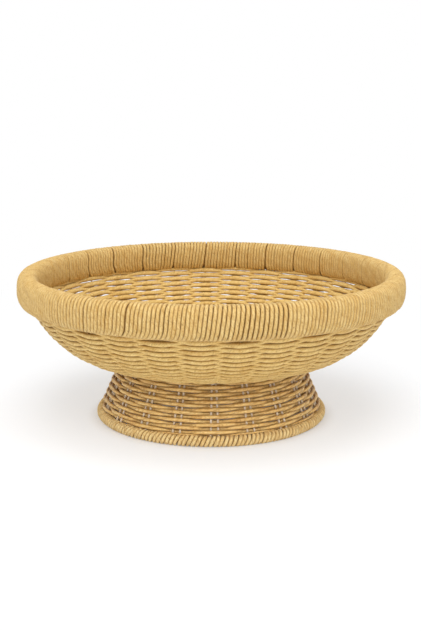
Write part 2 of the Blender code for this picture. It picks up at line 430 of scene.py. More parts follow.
def add_node(
    tree: bpy.types.NodeTree, kind: str, inputs: dict | None = None, **settings: object
) -> bpy.types.Node:
    """Adds a node to a tree.

    Args:
        tree: the node tree.
        kind: the node's type, such as "ShaderNodeMix".
        inputs: what each socket gets, by its name or number: an output to link, or a value to set.
        settings: the node's own properties.

    Returns:
        The node.
    """
    node = tree.nodes.new(kind)
    for key, value in settings.items():
        setattr(node, key, value)
    for key, value in (inputs or {}).items():
        if isinstance(value, Socket):
            tree.links.new(value, node.inputs[key])
        else:
            node.inputs[key].default_value = value
    return node


class Place(Enum):
    """Which coordinates a finish reads: the cord's own, or the object's."""

    STRAND = "strand"
    OBJECT = "object"


@dataclass(frozen=True)
class StrawFinish:
    """Straw, grass or reed fibre, dyed by nothing but the sun.

    Fields, colours as sRGB hex: crest, the pale top of the fibres; body, the straw itself; warm, a
    riper piece of straw; deep, the brown of old fibre, and also the painted shade in the grooves and
    the creases; speck, the brown flecks of husk. Sizes in millimetres: lot and lot_width, the length
    and width over which one piece of straw differs from the next; mottle, the granular patches;
    fibre, the width of one fibre, which runs on for fibre_run widths and is drawn two or three times
    as coarse as a real one so that it shows; bump, how far the fibres stand out. Flecks_per_mm is
    how close the flecks lie, along and across.
    Shares: groove_shade, how much painted shade darkens the grooves where the cord meets its
    neighbours; crease_shade, how much painted shade darkens the line between two plies as it winds
    round the cord; speck_share, how strong the flecks are; rough_range, how far the roughness goes
    up and down from fibre to fibre.
    """

    name: str
    crest: str
    body: str
    warm: str
    deep: str
    speck: str
    lot_mm: float
    mottle_mm: float
    fibre_mm: float
    fibre_run: float
    groove_shade: float
    crease_shade: float
    speck_share: float
    roughness: float
    bump_mm: float
    sheen: float
    place: Place = Place.STRAND
    lot_width_mm: float = 50.0
    flecks_per_mm: tuple[float, float, float] = (0.45, 0.9, 0.9)
    rough_range: float = 0.08

    def coordinates(self, tree: bpy.types.NodeTree) -> Socket:
        """Reads where each point lies.

        Args:
            tree: the material's node tree.

        Returns:
            The place in the cord, or the object's own coordinates, in millimetres.
        """
        if self.place is Place.STRAND:
            return add_node(tree, "ShaderNodeAttribute", attribute_name="strand").outputs["Vector"]
        inputs = {0: add_node(tree, "ShaderNodeTexCoord").outputs["Object"], 1: (1000, 1000, 1000)}
        return add_node(tree, "ShaderNodeVectorMath", inputs, operation="MULTIPLY").outputs[0]

    def make(self) -> bpy.types.Material:
        """Builds the node tree: the fibres, and over them layer by layer what varies their colour.

        Returns:
            The material.
        """
        made = bpy.data.materials.new(self.name)
        made.use_nodes = True
        tree = made.node_tree
        tree.nodes.clear()
        place = self.coordinates(tree)

        def noise(scale: tuple[float, float, float], detail: float) -> Socket:
            """Makes a field of noise.

            Args:
                scale: its turns per millimetre on each axis.
                detail: how many finer layers it has.

            Returns:
                The field, about one half in the middle.
            """
            scaled = add_node(tree, "ShaderNodeVectorMath", {0: place, 1: scale}, operation="MULTIPLY")
            inputs = {"Vector": scaled.outputs[0], "Scale": 1.0, "Detail": detail, "Roughness": 0.6}
            return add_node(tree, "ShaderNodeTexNoise", inputs).outputs["Fac"]

        def spread(value: Socket, low: float, high: float) -> Socket:
            """Stretches a field smoothly.

            Args:
                value: the field.
                low: what becomes 0.
                high: what becomes 1.

            Returns:
                The stretched field.
            """
            inputs = {"Value": value, "From Min": low, "From Max": high}
            node = add_node(tree, "ShaderNodeMapRange", inputs, interpolation_type="SMOOTHSTEP")
            return node.outputs["Result"]

        def blend(share: Socket, first: Socket | tuple, second: str) -> Socket:
            """Mixes from the first colour, a field or linear values, to the second, as sRGB hex."""
            inputs = {"Factor": share, 6: first, 7: linear(second)}
            return add_node(tree, "ShaderNodeMix", inputs, data_type="RGBA").outputs[2]

        def times(first: Socket, second: float) -> Socket:
            """Multiplies a field by a number."""
            return add_node(tree, "ShaderNodeMath", {0: first, 1: second}, operation="MULTIPLY").outputs[0]

        across = 1 / self.fibre_mm
        lot = noise((1 / self.lot_mm, 1 / self.lot_width_mm, 1 / self.lot_width_mm), 2)
        mottle = noise((1 / self.mottle_mm,) * 3, 4)
        fibre = noise((across / self.fibre_run, across, across), 3)
        fleck = noise(self.flecks_per_mm, 2)
        # Each layer: its field, where it sets in and where it is full, its strength and its colour
        layers = (
            (lot, 0.42, 0.68, 0.45, self.warm),
            (mottle, 0.50, 0.74, 0.55, self.deep),
            (mottle, 0.50, 0.30, 0.45, self.crest),
            (fleck, 0.66, 0.74, self.speck_share, self.speck),
        )
        colour = blend(spread(fibre, 0.36, 0.66), linear(self.body), self.crest)
        for value, low, high, strength, tone in layers:
            colour = blend(times(spread(value, low, high), strength), colour, tone)
        if self.place is Place.STRAND:
            # Painted shade: the deep colour darkens the cord where it meets its neighbours
            groove_shade = add_node(tree, "ShaderNodeAttribute", attribute_name="groove_shade").outputs["Fac"]
            colour = blend(times(groove_shade, self.groove_shade), colour, self.deep)
            # Painted shade along the crease between the two plies, which winds round the cord
            between = add_node(tree, "ShaderNodeSeparateXYZ", {0: place}).outputs["Y"]
            between = add_node(tree, "ShaderNodeMath", {0: between}, operation="ABSOLUTE").outputs[0]
            colour = blend(times(spread(between, 0.85, 0.15), self.crease_shade), colour, self.deep)
        height = add_node(tree, "ShaderNodeMath", {0: fibre, 1: mottle}, operation="ADD").outputs[0]
        bump_inputs = {"Strength": 1.0, "Distance": self.bump_mm * MM, "Height": height}
        bump = add_node(tree, "ShaderNodeBump", bump_inputs)
        most, least = self.roughness + self.rough_range, self.roughness - self.rough_range
        rough = add_node(tree, "ShaderNodeMapRange", {"Value": fibre, "To Min": most, "To Max": least})
        shader = add_node(
            tree,
            "ShaderNodeBsdfPrincipled",
            {
                "Base Color": colour,
                "Roughness": rough.outputs["Result"],
                "Normal": bump.outputs["Normal"],
                "IOR": 1.45,
                "Sheen Weight": self.sheen,
                "Sheen Roughness": 0.5,
            },
        )
        add_node(tree, "ShaderNodeOutputMaterial", {"Surface": shader.outputs["BSDF"]})
        return made


# Twisted straw round the rim: dull, pale, granular, husk-flecked, with beaded plies and painted shade in
# its grooves
RIM_CORD = StrawFinish(
    "twisted_straw_cord",
    crest="DFC487",
    body="D0AD66",
    warm="C29546",
    deep="9C6B1C",
    speck="7E5619",
    lot_mm=55,
    mottle_mm=1.6,
    fibre_mm=0.55,
    fibre_run=7,
    groove_shade=0.5,
    crease_shade=0.26,
    speck_share=0.75,
    roughness=0.75,
    bump_mm=0.22,
    sheen=0.05,
)
# The same straw in the wall, drawn tight and rubbed smooth: its plies hardly show, and painted shade
# darkens its grooves
WALL_CORD = StrawFinish(
    "woven_straw_cord",
    crest="E9CD89",
    body="D6B265",
    warm="C59642",
    deep="94641A",
    speck="7E5619",
    lot_mm=40,
    mottle_mm=1.8,
    fibre_mm=0.55,
    fibre_run=9,
    groove_shade=0.7,
    crease_shade=0.05,
    speck_share=0.5,
    roughness=0.75,
    bump_mm=0.20,
    sheen=0.05,
)
# The foot's cord is harder twisted: warmer and a little glossy, with browner painted shade in its grooves
# Its crest and body are drawn lighter than the wall's, as painted light against the bowl's shade on the
# foot
FOOT_CORD = StrawFinish(
    "twisted_grass_cord",
    crest="FFE09A",
    body="EEC270",
    warm="D6A04A",
    deep="8E561C",
    speck="734A19",
    lot_mm=45,
    mottle_mm=2.8,
    fibre_mm=0.5,
    fibre_run=9,
    groove_shade=0.7,
    crease_shade=0.3,
    speck_share=0.5,
    roughness=0.5,
    bump_mm=0.16,
    sheen=0.05,
)
# The cord round the ring is the rim's straw, drawn paler as painted light, against the shade under the bowl
RING_CORD = StrawFinish(
    "straw_cord_painted_lighter",
    crest="FFE8AE",
    body="F2D18C",
    warm="DEB064",
    deep="A0702A",
    speck="7E5619",
    lot_mm=55,
    mottle_mm=2.2,
    fibre_mm=0.55,
    fibre_run=7,
    groove_shade=0.55,
    crease_shade=0.3,
    speck_share=0.6,
    roughness=0.7,
    bump_mm=0.22,
    sheen=0.05,
)
# Peeled reed of the legs: smooth, almost white, with a long grain
PEELED_REED = StrawFinish(
    "peeled_reed",
    crest="F6E8D2",
    body="EAD6B8",
    warm="D4B48A",
    deep="A8845A",
    speck="6B4A26",
    lot_mm=30,
    mottle_mm=3.5,
    fibre_mm=0.35,
    fibre_run=22,
    groove_shade=0.1,
    crease_shade=0.0,
    speck_share=0.25,
    roughness=0.5,
    bump_mm=0.08,
    sheen=0.0,
)
# The ribs and the hoop wear the reed drawn dark brown as painted shade, so a rib is a brown dot where the
# weave lets it show
SHADED_REED = StrawFinish(
    "reed_in_painted_shade",
    crest="B08A58",
    body="94703F",
    warm="805C30",
    deep="5E4122",
    speck="3E280F",
    lot_mm=30,
    mottle_mm=3.5,
    fibre_mm=0.35,
    fibre_run=22,
    groove_shade=0.1,
    crease_shade=0.0,
    speck_share=0.3,
    roughness=0.55,
    bump_mm=0.08,
    sheen=0.0,
)
# The rolls under the wrapping: loose straw, coloured a darker brown than the wrapping, seen only in the
# gaps
STRAW_ROLL = StrawFinish(
    "bundled_brown_straw",
    crest="A9803F",
    body="8C642C",
    warm="7A5424",
    deep="543816",
    speck="3E280F",
    lot_mm=30,
    mottle_mm=3,
    fibre_mm=0.7,
    fibre_run=10,
    groove_shade=0.0,
    crease_shade=0.0,
    speck_share=0.4,
    roughness=0.85,
    bump_mm=0.3,
    sheen=0.0,
    place=Place.OBJECT,
)


class Dress(Enum):
    """What a piece wears: the finish that is drawn for it, beside the record's material slot, which is
    listed here but not given to the piece.
    """

    RIM = ("straw_cord", RIM_CORD)
    WALL = ("straw_cord", WALL_CORD)
    FOOT = ("foot_cord", FOOT_CORD)
    RING = ("foot_cord", RING_CORD)
    LEG = ("reed", PEELED_REED)
    RIB = ("reed", SHADED_REED)
    ROLL = ("straw_roll", STRAW_ROLL)


class Workshop:
    """Holds the finished materials and sends each piece out dressed, named and riding."""

    def __init__(self) -> None:
        """Makes the finishes."""
        self.finishes = {dress: dress.value[1].make() for dress in Dress}

    def send_out(self, surface: Surface, dress: Dress, *nodes: str) -> None:
        """Turns a surface into a piece of the bowl.

        Args:
            surface: its arrays.
            dress: what it wears.
            nodes: the frame's nodes that it stands for.
        """
        piece = surface.object(self.finishes[dress])
        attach(piece, BODY)
        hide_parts(*nodes)
        LOG.info("%s: %d faces, for %s", piece.name, len(piece.data.polygons), ", ".join(nodes))


# The woven walls


@dataclass
class Weave:
    """A rising spiral of cord round a wall, outside one stake and inside the next.

    Along the cord, its count of stakes goes up by one per stake. Its distance up the wall is the
    first distance plus the pitch for each full turn. Its offset from the wall's middle is the reach
    times minus the cosine of pi times the count, pressed flatter by a hyperbolic tangent, so an odd
    number of stakes puts each turn on the other side of every stake. It droops outside a stake, and
    rises inside. All rows drift together by the unevenness, and each goes its own way a little. The
    cord fills its share of the pitch. Where it passes a stake it is pressed wide and thin, and
    between low and high, the ends of the wall, the first and last turn grow from and shrink to a
    tapered end.

    Fields: name and node, what the pieces and the frame's nodes are called before their numbers;
    lengths, frame_first and frame_length, how many nodes there are, and where on the wall the first
    starts and how far each goes up; spread and press, the shares by which the cord is wider and
    thinner at a stake; tail, how far past the wall's ends the cord is worked out, as a share of the
    pitch; sway_length, the distance up the wall over which the rows drift together; own_turns, the
    turns over which a row goes its own way.
    """

    name: str
    node: str
    dress: Dress
    profile: Profile
    stakes: int
    turn: float
    first: float
    pitch: float
    low: float
    high: float
    lengths: int
    frame_first: float
    frame_length: float
    reach: float
    droop_outside: float
    rise_inside: float
    flatness: float
    spread: float
    press: float
    twist: Twist
    seed: int
    fill: float
    steps_per_stake: int = 14
    unevenness: float = 0.35 * MM
    own_way: float = 0.28 * MM
    own_turns: float = 0.45
    sway_length: float = 90 * MM
    tail: float = 0.3
    reach_drift: Drift = Drift(0.05, 3.1)
    offset_drift: Drift = Drift(0.10 * MM, 1.7)
    thickness_drift: Drift = Drift(0.04, 0.9)

    def count_at(self, distance: Array) -> Array:
        """The count of stakes at which the cord's middle is at this distance up the wall."""
        return (distance - self.first) / self.pitch * self.stakes

    def whole(self) -> tuple[Array, Strand]:
        """Works out the whole cord.

        Returns:
            The count of stakes at each of its rows, and the cord.
        """
        tail = self.tail * self.pitch
        begin, finish = self.count_at(np.array([self.low - tail, self.high + tail]))
        count = np.linspace(begin, finish, int((finish - begin) * self.steps_per_stake))
        angle = self.turn + TAU * count / self.stakes
        middle = self.first + self.pitch * count / self.stakes
        lower = np.maximum(middle - self.pitch / 2, self.low)
        upper = np.minimum(middle + self.pitch / 2, self.high)
        full = (upper - lower) / self.pitch
        bend = flattened(np.cos(math.pi * count), self.flatness)
        sway = round_wander(angle, self.seed) + wander(middle, self.sway_length, self.seed + 1, 3)
        own = self.own_way * wander(count, self.own_turns * self.stakes, self.seed + 6)
        sag = np.where(bend < 0, self.droop_outside, self.rise_inside) * bend
        distance = (lower + upper) / 2 + (self.unevenness * sway + own + sag) * full
        point, normal = self.profile.at(distance)
        offset = -self.reach * bend * (1 + self.reach_drift.at(count, self.seed + 2))
        offset = offset + self.offset_drift.at(count, self.seed + 3)
        centre = turned(point[:, 0] + normal[:, 0] * offset, point[:, 1] + normal[:, 1] * offset, angle)
        lift = turned(normal[:, 0], normal[:, 1], angle)
        thickness = 1 + self.thickness_drift.at(count, self.seed + 4)
        radius = self.fill * self.pitch / 2 * thickness * full**TAPER
        pressed = 1 - (1 - bend**2) ** 2
        width = radius * (1 + self.spread * pressed)
        height = radius * (1 - self.press * pressed)
        return count, Strand(centre, lift, width, height, start=self.seed)

    def build(self, shop: Workshop) -> None:
        """Makes the cord, cut into the frame's lengths half way between two stakes.

        Args:
            shop: what dresses the pieces.
        """
        count, strand = self.whole()
        ends = self.count_at(self.frame_first + self.frame_length * np.arange(1, self.lengths))
        rows = np.searchsorted(count, np.floor(ends) + 0.5)
        rows = np.concatenate([[0], rows, [len(count)]])
        for number, (start, end) in enumerate(zip(rows[:-1], rows[1:]), 1):
            part = strand.part(slice(start, min(end + 1, len(count))))
            piece = carry(f"{self.name}_{number:02d}", part, self.twist)
            shop.send_out(piece, self.dress, f"{self.node}_{number:02d}")


def wall_weave(profile: Profile) -> Weave:
    """Sets out the wall's cord, which hides the ribs and goes up into the rim's wrapping.

    Args:
        profile: the bowl's wall.

    Returns:
        The weave.
    """
    return Weave(
        name="wall_cord",
        node="bowl_weaver",
        dress=Dress.WALL,
        profile=profile,
        stakes=BOWL_RIBS,
        turn=BOWL_TURN,
        first=9.5 * MM,
        pitch=3.3 * MM,
        low=7.8 * MM,
        high=profile.length - SEAT_DEPTH + 1.7 * MM,
        lengths=11,
        frame_first=9.5 * MM,
        frame_length=10.5 * MM,
        reach=1.25 * MM,
        droop_outside=1.75 * MM,
        rise_inside=1.10 * MM,
        flatness=0.6,
        spread=0.62,
        press=0.05,
        twist=Twist(swell=0.03, lay=11.5 * MM),
        seed=41,
        fill=1.12,
    )


def foot_weave(profile: Profile) -> Weave:
    """Sets out the foot's cord, which swings wide round the pairs of legs and leaves them in sight.

    Args:
        profile: the foot's wall.

    Returns:
        The weave.
    """
    return Weave(
        name="foot_cord",
        node="foot_weaver",
        dress=Dress.FOOT,
        profile=profile,
        stakes=FOOT_PAIRS,
        turn=FOOT_TURN,
        first=12.0 * MM,
        pitch=3.65 * MM,
        low=5.3 * MM,
        high=55.7 * MM,
        lengths=5,
        frame_first=7.5 * MM,
        frame_length=10.5 * MM,
        reach=2.4 * MM,
        droop_outside=0.0,
        rise_inside=0.0,
        flatness=1.3,
        spread=0.14,
        press=0.12,
        twist=Twist(swell=0.03, lay=23 * MM),
        seed=51,
        fill=0.98,
        steps_per_stake=18,
        unevenness=0.45 * MM,
    )


# Stakes


def rounded(line: Array, reach: float, step: float = 2 * MM) -> Array:
    """Fills a line with points a step apart and rounds its corners by a running mean.

    Args:
        line: the corners.
        reach: the length over which the mean is taken.
        step: the distance between points.

    Returns:
        The new points. The ends stay where they are.
    """
    so_far = lengths_along(line)
    count = max(8, int(so_far[-1] / step))
    even = np.linspace(0, so_far[-1], count)
    filled = np.stack([np.interp(even, so_far, line[:, i]) for i in range(3)], axis=1)
    half = max(1, int(reach / step / 2))
    before = 2 * filled[0] - filled[half:0:-1]
    after = 2 * filled[-1] - filled[-2 : -half - 2 : -1]
    padded = np.concatenate([before, filled, after])
    kernel = np.ones(2 * half + 1) / (2 * half + 1)
    return np.stack([np.convolve(padded[:, i], kernel, mode="valid") for i in range(3)], axis=1)


@dataclass
class BowlStakes:
    """The reeds that cross under the floor and bend up the wall, and the short one between them.

    Fields: crossing, how many cross; spacing, how far apart they lie there; half_crossing, how far
    they run straight from the middle; short_start, where the short one starts; layer_drop, how far
    the two layers lie below and above the floor's middle; corner, the length of a bend.
    """

    profile: Profile
    crossing: int = 15
    spacing: float = 2.8 * MM
    half_crossing: float = 30 * MM
    short_start: float = 42 * MM
    layer_drop: float = 1.25 * MM
    radius: float = 0.75 * MM
    radius_drift: Drift = Drift(0.03, 14)
    corner: float = 10 * MM
    wall_points: int = 60

    def wall_side(self, angle: float) -> Array:
        """Runs a stake up the wall.

        Args:
            angle: where, about the Z axis.

        Returns:
            Its points, from the neck to the rim.
        """
        distance = np.linspace(0, self.profile.length, self.wall_points)
        point, _ = self.profile.at(distance)
        return turned(point[:, 0], point[:, 1], np.full(len(point), angle))

    def line(self, first_rib: int, count: int, place: int, height: float) -> Array:
        """Runs one crossing reed from rim to rim.

        The straight runs are filled with points 2 mm apart, and a running mean bends the corners.

        Args:
            first_rib: the rib at which the reed's layer starts.
            count: how many reeds the layer has.
            place: which of them this one is.
            height: how far the layer lies above the floor's middle.

        Returns:
            The reed's points.
        """
        rib = TAU / BOWL_RIBS
        aside = (place - (count - 1) / 2) * self.spacing
        middle = BOWL_TURN + rib * (first_rib + (count - 1) / 2)
        near = self.wall_side(BOWL_TURN + rib * (first_rib + place))
        far = self.wall_side(BOWL_TURN + rib * (first_rib + self.crossing + count - 1 - place))
        along = np.array([self.half_crossing, -self.half_crossing])
        cross = np.stack(
            [
                along * math.cos(middle) - aside * math.sin(middle),
                along * math.sin(middle) + aside * math.cos(middle),
                np.full(2, FLOOR_HEIGHT + height),
            ],
            axis=1,
        )
        return rounded(np.concatenate([near[::-1], cross, far]), self.corner)

    def reed(self, line: Array, seed: int) -> Strand:
        """Makes a reed along a line: its radius drifts by a few hundredths, as split reed does.

        Args:
            line: its points.
            seed: which drift of many.

        Returns:
            The reed.
        """
        lift = upward(line) + 0.3 * unit(line * [1, 1, 0] + 1e-6)
        half = self.radius * (1 + self.radius_drift.at(np.arange(len(line)), 500 + seed))
        return Strand(line, lift, half, half, start=seed * 2.0)

    def build(self, shop: Workshop) -> None:
        """Makes the crossing reeds and the short one.

        Args:
            shop: what dresses the pieces.
        """
        lower = self.crossing // 2
        upper = self.crossing - lower
        lines = [self.line(0, lower, place, -self.layer_drop) for place in range(lower)]
        lines += [self.line(lower, upper, place, self.layer_drop) for place in range(upper)]
        angle = BOWL_TURN + TAU * (BOWL_RIBS - 1) / BOWL_RIBS
        start = turned(np.array([self.short_start]), np.array([FLOOR_HEIGHT]), np.array([angle]))
        lines.append(rounded(np.concatenate([start, self.wall_side(angle)]), self.corner))
        for number, line in enumerate(lines, 1):
            piece = carry(f"stake_{number:02d}", self.reed(line, number), REED_TWIST)
            shop.send_out(piece, Dress.RIB, f"bowl_stake_{number:02d}")


@dataclass
class FootLegs:
    """Pairs of legs, each pair bent from one reed, closed in an arch under the hoop.

    Fields: spread_top and spread_bottom, how far apart the two legs stand; sunk, how far above the
    foot wall's lower end they start; own_way, about how far a pair stands from its even place, by a
    drift whose number is the seed.
    """

    profile: Profile
    spread_top: float = 4.4 * MM
    spread_bottom: float = 7.8 * MM
    sunk: float = 3.2 * MM
    radius: float = 1.1 * MM
    own_way: float = 0.35 * MM
    leg_points: int = 30
    arch_points: int = 13
    seed: int = 77

    def line(self, number: int) -> Array:
        """Runs one pair: up one leg, half a circle over, and down the other.

        Args:
            number: which pair, from 0.

        Returns:
            Its points.
        """
        whole = self.profile.length
        arch = np.linspace(0, math.pi, self.arch_points)
        shoulder = whole - self.spread_top / 2
        legs = np.linspace(self.sunk, shoulder, self.leg_points)[:-1]
        half = (self.spread_bottom + (self.spread_top - self.spread_bottom) * legs / whole) / 2
        distance = np.concatenate([legs, shoulder + np.sin(arch) * self.spread_top / 2, legs[::-1]])
        aside = np.concatenate([-half, -np.cos(arch) * self.spread_top / 2, half[::-1]])
        aside = aside + self.own_way * round_wander(np.array(number * 1.3), self.seed)
        point, _ = self.profile.at(distance)
        angle = FOOT_TURN + TAU * number / FOOT_PAIRS
        way = np.array([math.cos(angle), math.sin(angle)])
        side = np.array([-math.sin(angle), math.cos(angle)])
        flat = point[:, :1] * way + aside[:, None] * side
        return np.concatenate([flat, point[:, 1:]], axis=1)

    def build(self, shop: Workshop) -> None:
        """Makes the pairs.

        Args:
            shop: what dresses the pieces.
        """
        for number in range(FOOT_PAIRS):
            line = self.line(number)
            outward = unit(line * [1, 1, 0]) + [0, 0, 0.5]
            radius = np.full(len(line), self.radius)
            strand = Strand(line, outward, radius, radius, start=60 + number)
            piece = carry(f"foot_legs_{number + 1:02d}", strand, REED_TWIST)
            shop.send_out(piece, Dress.LEG, f"foot_stake_{number + 1:02d}")


# Wrapped rolls


@dataclass(frozen=True)
class Roll:
    """A wrapped roll turned round the Z axis.

    Its section is an oval whose coordinates, each as a share of its half size, add up to one when
    raised to the squareness. Fields: ridge_height and ridge_turns, how far the straw of the roll
    inside stands up in ridges, and how often they wind round it on the way about the bowl.
    """

    radius: float
    height: float
    half_width: float
    half_height: float
    squareness: float
    ridge_height: float = 0.18 * MM
    ridge_turns: int = 4

    def outline(self, angle: Array, inset: float) -> tuple[Array, Array]:
        """Finds the section's line, a little inside its outer skin.

        Args:
            angle: directions from its centre.
            inset: how far inside.

        Returns:
            Points, and outward normals, as rows of radius and height from the roll's centre.
        """
        a, b, n = self.half_width - inset, self.half_height - inset, self.squareness
        across, up = np.cos(angle), np.sin(angle)
        reach = (np.abs(across / a) ** n + np.abs(up / b) ** n) ** (-1 / n)
        x, z = reach * across, reach * up
        normal = [np.sign(x) * np.abs(x / a) ** (n - 1) / a, np.sign(z) * np.abs(z / b) ** (n - 1) / b]
        return np.stack([x, z], axis=-1), unit(np.stack(normal, axis=-1))

    def even_angles(self, start: float, steps: int, inset: float) -> Array:
        """Finds directions once round whose points on the section lie evenly apart.

        Args:
            start: the first direction.
            steps: how many.
            inset: how far inside the skin the points lie.

        Returns:
            The directions, read off a fine table of the line's length.
        """
        fine = start + np.linspace(0, TAU, 2000)
        point, _ = self.outline(fine, inset)
        so_far = lengths_along(point)
        return np.interp(np.arange(steps) / steps * so_far[-1], so_far, fine)

    def core(self, name: str, inset: float, ridges: int, rounds: int = 290, sides: int = 48) -> Surface:
        """Makes the roll inside the wrapping, with ridges of straw that wind slowly along it.

        Args:
            name: the surface's name.
            inset: how far inside the wrapped skin it lies.
            ridges: how many ridges lie round the section.
            rounds: how many sections there are about the bowl.
            sides: how many points each section has.

        Returns:
            The roll, as a closed ring.
        """
        angle = np.arange(rounds) / rounds * TAU
        around = np.arange(sides) / sides * TAU
        point, normal = self.outline(around, inset)
        ripple = self.ridge_height * np.cos(ridges * around[None, :] + self.ridge_turns * angle[:, None])
        radius = self.radius + point[:, 0] + normal[:, 0] * ripple
        height = self.height + point[:, 1] + normal[:, 1] * ripple
        points = turned(radius, height, np.broadcast_to(angle[:, None], radius.shape))
        return Surface(name, points.reshape(-1, 3), tube_faces(rounds, sides, closed=True))


@dataclass
class Wrap:
    """A cord wound round a roll: what the rim's and the ring's wrappings share.

    Fields: turns, once round the section each; lengths, the pieces that it is sent out in; steps,
    the rows of a turn; inset, how far inside the roll's skin its middle lies, which is half its
    thickness; most_width, the widest that half its width may be; twist, its section and lay.
    """

    roll: Roll
    turns: int
    lengths: int
    steps: int
    inset: float
    most_width: float
    twist: Twist

    def send_lengths(self, shop: Workshop, whole: Strand, name: str, dress: Dress, node: str) -> None:
        """Cuts the winding into its lengths, each of whole turns, and sends them out.

        Args:
            shop: what dresses the pieces.
            whole: the winding.
            name: what the pieces are called before their numbers.
            dress: what they wear.
            node: the frame's node that they stand for.
        """
        cuts = np.round(np.arange(self.lengths + 1) * self.turns / self.lengths).astype(int) * self.steps
        for number, (start, end) in enumerate(zip(cuts[:-1], cuts[1:]), 1):
            piece = carry(f"{name}_{number}", whole.part(slice(start, end)), self.twist, floor=0.0)
            shop.send_out(piece, dress, node)


@dataclass
class RimWrap(Wrap):
    """The cord wound round the rim, in bundles between the stakes.

    Each turn runs once round the roll's section and lies at one angle about the bowl, apart from a
    lean that grows with height. Below the roll, where the stakes go in, it steps over to the next
    turn. The turns between two stakes are drawn together, more where the stakes go in and less on the
    outer face, which leaves a narrow dark gap at each stake. Away from where the stakes go in, the
    gaps lie a little aside of them, by two smooth bumps over the angle.

    Fields: entry, the direction in the section in which the stakes go in; start, where each turn
    starts; entry_gap, the gap there, and entry_reach and bundle_reach, the angles over which the gap
    and the place of the bundle give way to those elsewhere; inside_from and inside_to, minus the
    cosines in the section between which the outer gap gives way to the inner one; step_from, the
    share of a turn from which it steps over; outer_gaps, the outer gaps in millimetres by the number
    of the rib, where they are known; inner_gaps, the inner ones of ribs 1 and up; aside, for each
    bump its middle, its half width and its height in degrees; lean_front, lean_side and lean_drift,
    the sideways travel for each metre of height, by the cosine and the sine of the angle from the
    front and by chance; jitter and settle, how far a turn lies aside and in or out by chance.
    """

    turns: int = 308
    lengths: int = 4
    steps: int = 60
    inset: float = 1.55 * MM
    most_width: float = 1.80 * MM
    twist: Twist = Twist(fullness=0.62, swell=0.035, lay=11.5 * MM)
    entry: float = math.radians(255)
    start: float = math.radians(290)
    entry_gap: float = 2.9 * MM
    entry_reach: float = 0.45
    bundle_reach: float = 0.60
    inside_from: float = -0.5
    inside_to: float = 0.6
    step_from: float = 0.89
    outer_gaps: tuple[tuple[int, float], ...] = ((19, 0.8), (20, 1.2), (24, 1.1), (25, 0.8))
    inner_gaps: tuple[float, ...] = (0.5, 1.3, 0.5, 1.3, 0.8, 0.9, 0.9, 0.2, 1.4, 1.4, 1.8, 0.6, 1.0)
    aside: tuple[tuple[float, float, float], ...] = ((244, 20, 4.2), (136, 22, 2.6))
    lean_front: float = 0.11
    lean_side: float = 0.10
    lean_drift: float = 0.03
    jitter: float = 0.11 * MM
    settle: float = 0.07 * MM
    lumps: Drift = Drift(0.03, 9)
    seed: int = 11

    def gap_angles(self) -> Array:
        """Finds where the gaps lie.

        Returns:
            The angle of the gap at each rib, with the first one once more at the end.
        """
        ribs = BOWL_TURN + TAU * np.arange(BOWL_RIBS + 1) / BOWL_RIBS
        for middle, half, height in self.aside:
            off = away_from(math.radians(middle), ribs)
            ribs = ribs + math.radians(height) * hump(off, math.radians(half))
        return ribs

    def gap_sizes(self, rng: np.random.Generator) -> tuple[Array, Array]:
        """Chooses how wide the gaps are, where they aren't known.

        Args:
            rng: the source of chance.

        Returns:
            The outer and the inner gap at each rib, with the first one once more at the end.
        """
        outer = rng.uniform(0.0, 0.3, BOWL_RIBS)
        inner = rng.uniform(0.4, 1.3, BOWL_RIBS)
        numbers, gaps = zip(*self.outer_gaps)
        outer[list(numbers)] = gaps
        inner[1 : 1 + len(self.inner_gaps)] = self.inner_gaps
        return np.append(outer, outer[0]) * MM, np.append(inner, inner[0]) * MM

    def lean(self, angle: Array) -> Array:
        """Finds how far the turns lean.

        Args:
            angle: where they are about the bowl.

        Returns:
            The sideways travel for each metre of height.
        """
        from_front = angle + math.pi / 2
        lean = self.lean_front * np.cos(from_front) + self.lean_side * np.sin(from_front)
        return lean + self.lean_drift * round_wander(angle, self.seed + 5, 6, 14)

    def whole(self) -> Strand:
        """Works out the whole winding.

        Returns:
            The cord, turn after turn.
        """
        rng = np.random.default_rng(self.seed)
        rib = TAU / BOWL_RIBS
        gaps = self.gap_angles()
        edges = np.round((gaps - gaps[0]) / TAU * self.turns)
        turn = np.arange(self.turns + 1)
        bay = np.minimum(np.searchsorted(edges, turn, side="right") - 1, BOWL_RIBS)
        edges, gaps = np.append(edges, edges[-1] + edges[1]), np.append(gaps, gaps[1] + TAU)
        share = (turn - edges[bay] + 0.5) / (edges[bay + 1] - edges[bay]) - 0.5
        jitter = self.jitter * rng.standard_normal(self.turns + 1)
        jitter[-1] = jitter[0]
        outer_gap, inner_gap = self.gap_sizes(rng)

        psi = self.roll.even_angles(self.start, self.steps, self.inset)
        point, normal = self.roll.outline(psi, self.inset)
        radius = self.roll.radius + point[:, 0]
        from_entry = away_from(self.entry, psi)
        near_entry, below = hump(from_entry, self.entry_reach), hump(from_entry, self.bundle_reach)
        inside = smooth_step(self.inside_from, self.inside_to, -np.cos(psi))
        gap = inner_gap[bay][:, None] * inside + outer_gap[bay][:, None] * (1 - inside)
        gap = gap * (1 - near_entry) + self.entry_gap * near_entry
        squeeze = 1 - gap / (radius * rib)
        at_ribs = BOWL_TURN + rib * (bay[:, None] + 0.5 + share[:, None] * squeeze)
        wide = (gaps[bay + 1] - gaps[bay])[:, None]
        aside = gaps[bay][:, None] + wide * (0.5 + share[:, None] * squeeze)
        angle = at_ribs * below + aside * (1 - below) + jitter[:, None] / radius
        step_over = smooth_step(self.step_from, 1.0, np.arange(self.steps) / self.steps)
        angle = angle[:-1] + (angle[1:] - angle[:-1]) * step_over
        angle = angle + self.lean(angle) * point[:, 1] / radius

